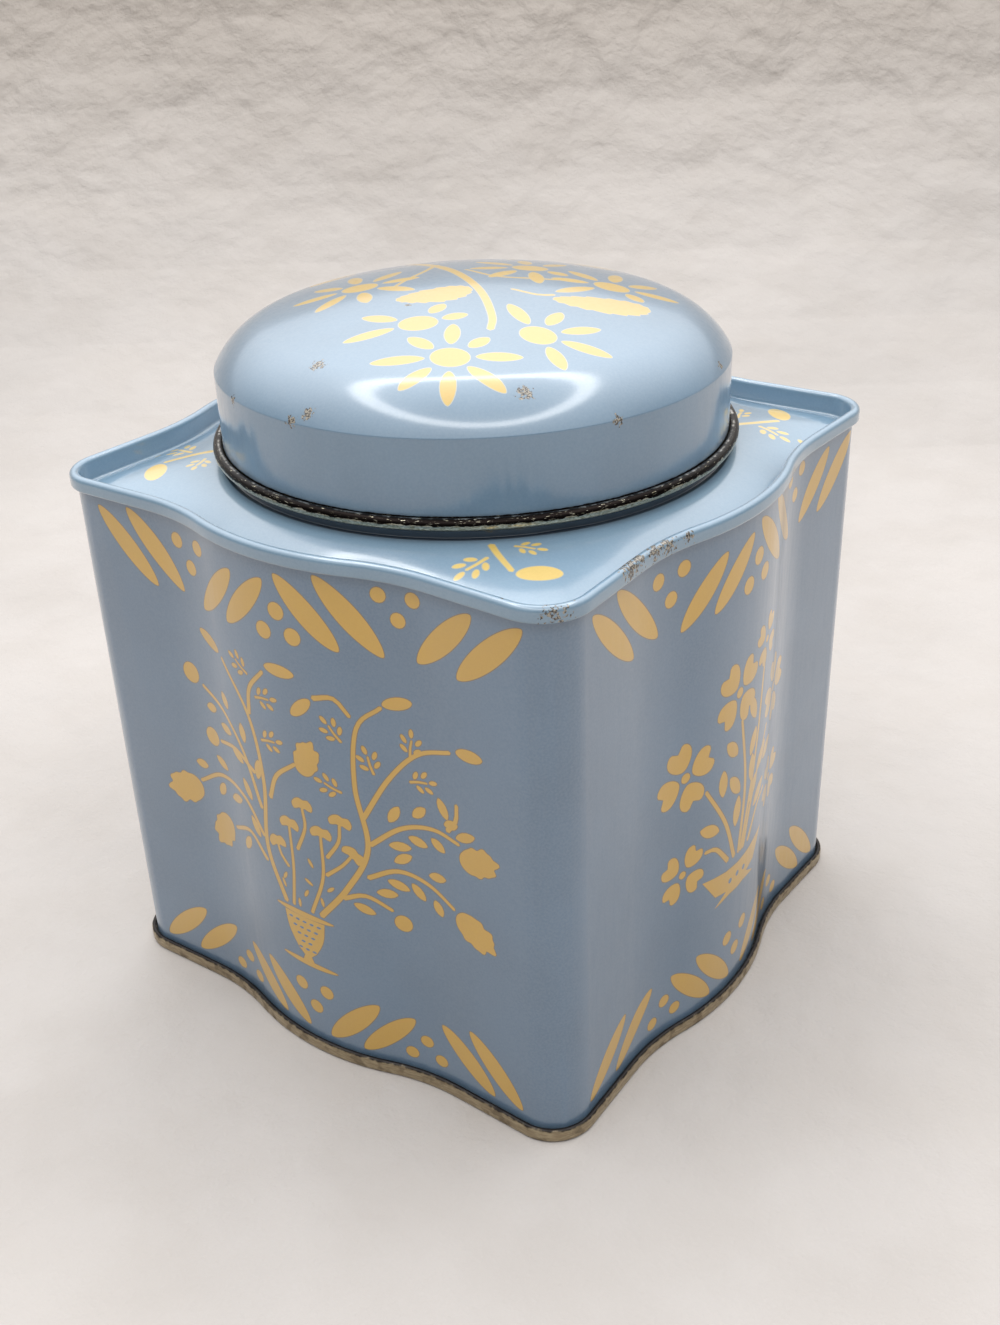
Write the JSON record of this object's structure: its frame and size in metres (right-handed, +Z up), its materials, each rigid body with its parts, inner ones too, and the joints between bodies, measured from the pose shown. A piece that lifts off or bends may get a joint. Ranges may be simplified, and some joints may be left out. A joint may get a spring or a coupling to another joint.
{
  "type": "cookie tin",
  "caption": "Square tinplate cookie tin with bulging sides, a rolled rim, a round neck and a lift-off domed round lid.",
  "frame": {"origin": "on the plane the tin stands on, under the middle of the tin and on the axis of the neck and lid", "axes": "+Z up along the axis of the neck, +X and -Y out through the middles of two neighbouring sides"},
  "size_m": [0.1326, 0.1326, 0.1501],
  "materials": {
    "wall_print": "glossy varnished grey-blue enamel with a mustard plant print",
    "gold_lacquer": "aged gold lacquer over tinplate, satin",
    "plate_enamel": "glossy light blue enamel, chipped along the rim",
    "bare_tinplate": "plain tinplate, rolled and slightly dulled",
    "lid_enamel": "glossy light blue enamel with a pale flower print, worn to metal at the curl"
  },
  "bodies": {
    "tin": {"body_wall": "wall_print", "bottom_plate": "gold_lacquer", "shoulder_plate": "plate_enamel", "neck_ring": "bare_tinplate"},
    "lid": {"lid": "lid_enamel"}
  },
  "joints": [
    {"name": "lid_lift", "type": "slide", "parent": "tin", "child": "lid", "axis": [0, 0, 1], "range_m": [0, 0.06]}
  ]
}
